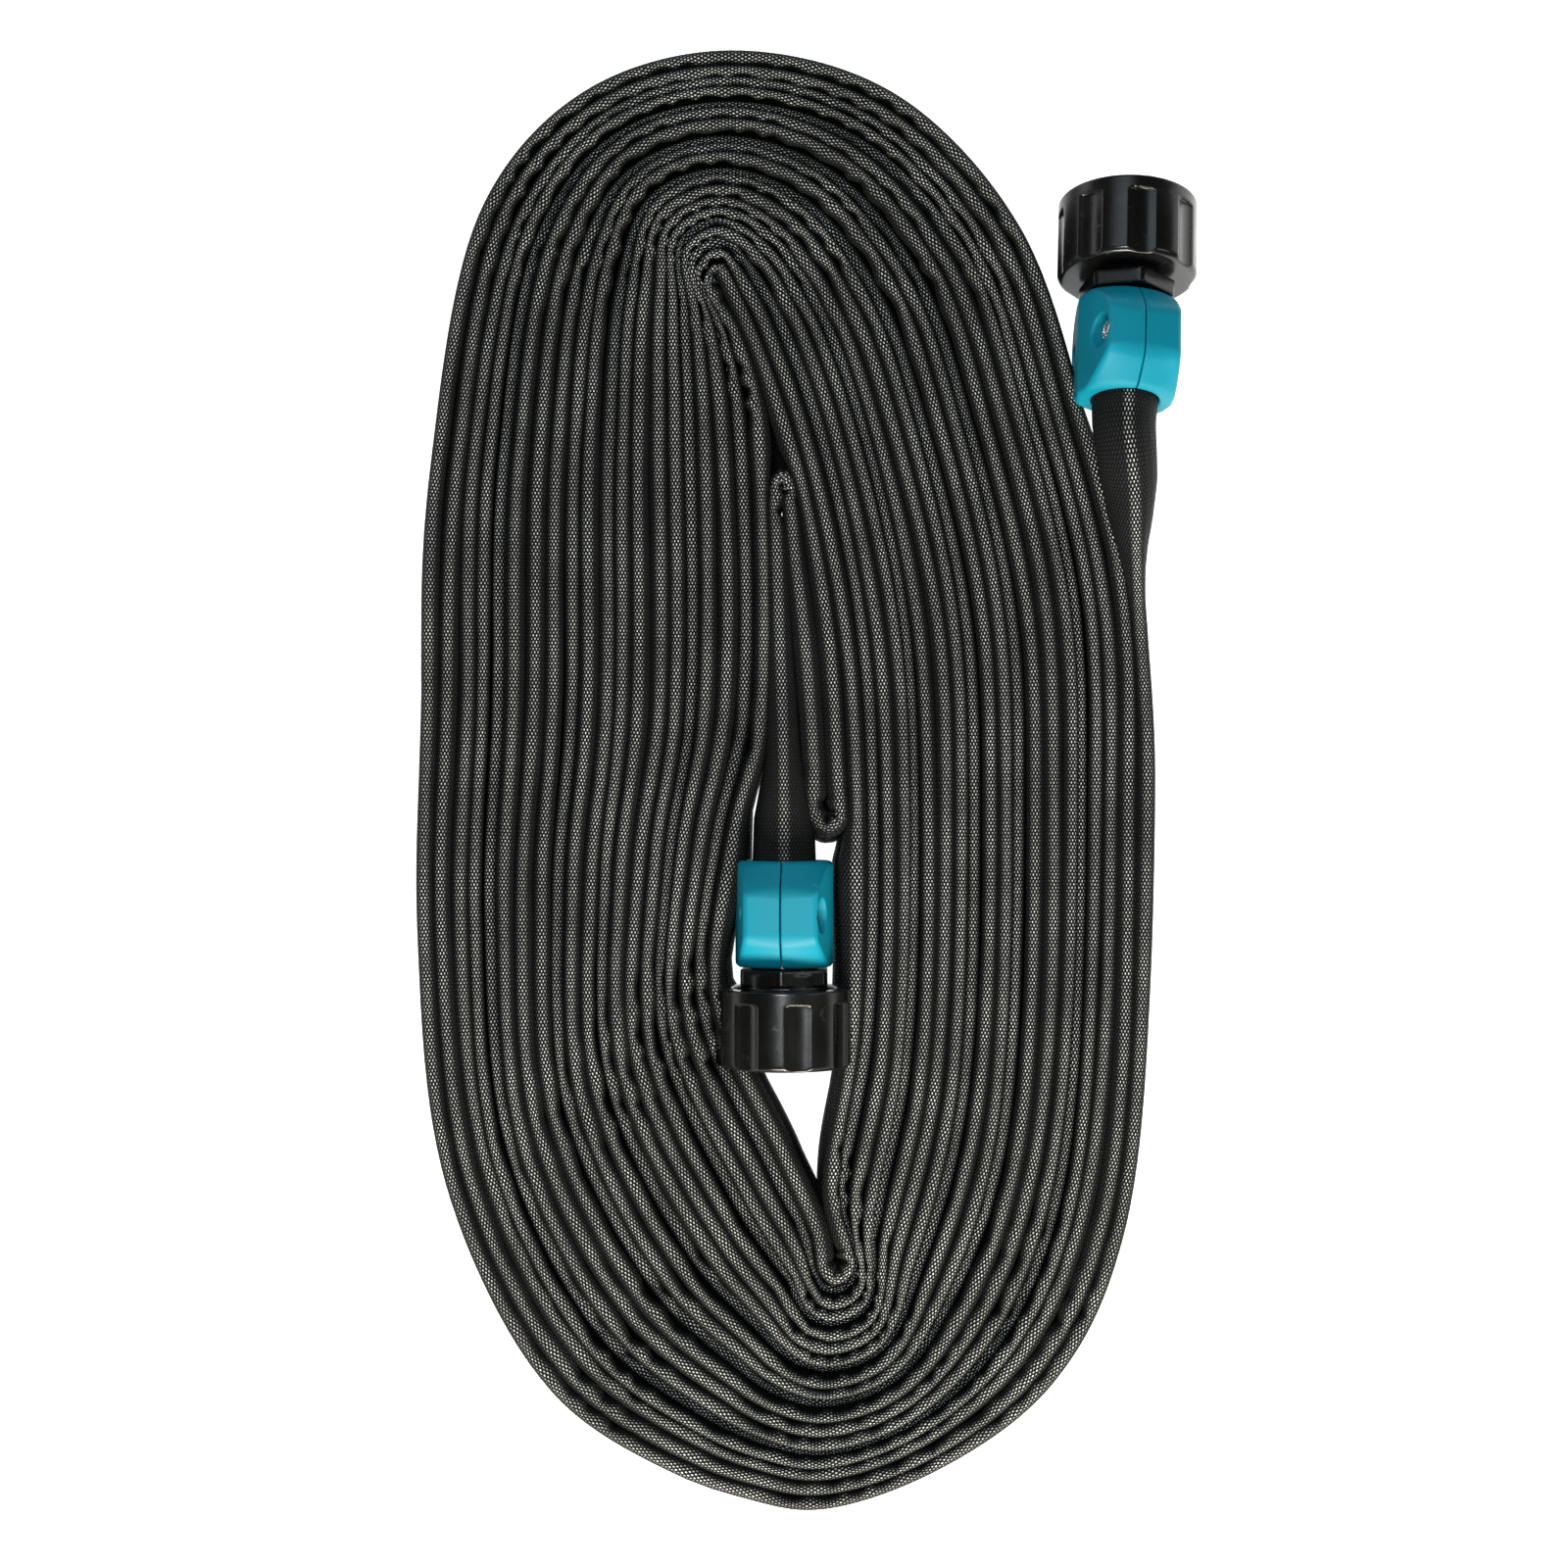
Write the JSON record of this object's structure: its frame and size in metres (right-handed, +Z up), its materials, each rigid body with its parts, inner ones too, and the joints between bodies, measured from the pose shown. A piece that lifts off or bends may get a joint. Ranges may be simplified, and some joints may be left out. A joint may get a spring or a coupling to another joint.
{
  "type": "rolled hose",
  "caption": "Flat woven-jacket hose wound on edge into an oval coil, with a screw-clamped swivel nut coupling on its outer end and a capped male coupling on its inner end.",
  "frame": {"origin": "on the surface that the coil lies on, under the middle of the whole object", "axes": "+Y along the oval coil's long axis, towards the inlet coupling; +Z up through the coil; +X to the side that the inlet coupling lies on"},
  "size_m": [0.2074, 0.386, 0.0467],
  "materials": {
    "jacket": "woven polyester, charcoal",
    "liner": "smooth",
    "clamp": "satin moulded, teal",
    "screw": "zinc plated",
    "coupling": "semi-gloss moulded, black",
    "washer": "matte"
  },
  "bodies": {
    "hose": {"hose_coil": "jacket", "hose_inlet_tail": "jacket", "hose_outlet_tail": "jacket", "inlet_jacket_end": "jacket", "inlet_liner_end": "liner", "inlet_clamp_head_half": "clamp", "inlet_clamp_tip_half": "clamp", "inlet_screw_front": "screw", "inlet_screw_back": "screw", "inlet_stem": "coupling", "outlet_jacket_end": "jacket", "outlet_liner_end": "liner", "outlet_clamp_head_half": "clamp", "outlet_clamp_tip_half": "clamp", "outlet_screw_front": "screw", "outlet_screw_back": "screw", "outlet_stem": "coupling"},
    "swivel_nut": {"inlet_nut": "coupling", "inlet_washer": "washer"},
    "cap_washer": {"outlet_cap_washer": "washer"},
    "cap": {"outlet_cap": "coupling"}
  },
  "joints": [
    {"name": "inlet_nut_spin", "type": "hinge", "parent": "hose", "child": "swivel_nut", "pos_m": [0.0848, 0.1419, 0.02075], "axis": [0.0458, 0.9713, -0.2334], "continuous": true},
    {"name": "cap_travel", "type": "slide", "parent": "hose", "child": "cap_washer", "axis": [0, -1, 0], "range_m": [0, 0.0028]},
    {"name": "cap_turn", "type": "hinge", "parent": "cap_washer", "child": "cap", "pos_m": [-0.00661, -0.07144, 0.0188], "axis": [0, -1, 0], "range_deg": [0, 450]}
  ],
  "couplings": [
    {"joint": "cap_travel", "follows": "cap_turn", "m_per_rad": 0.00035153}
  ]
}
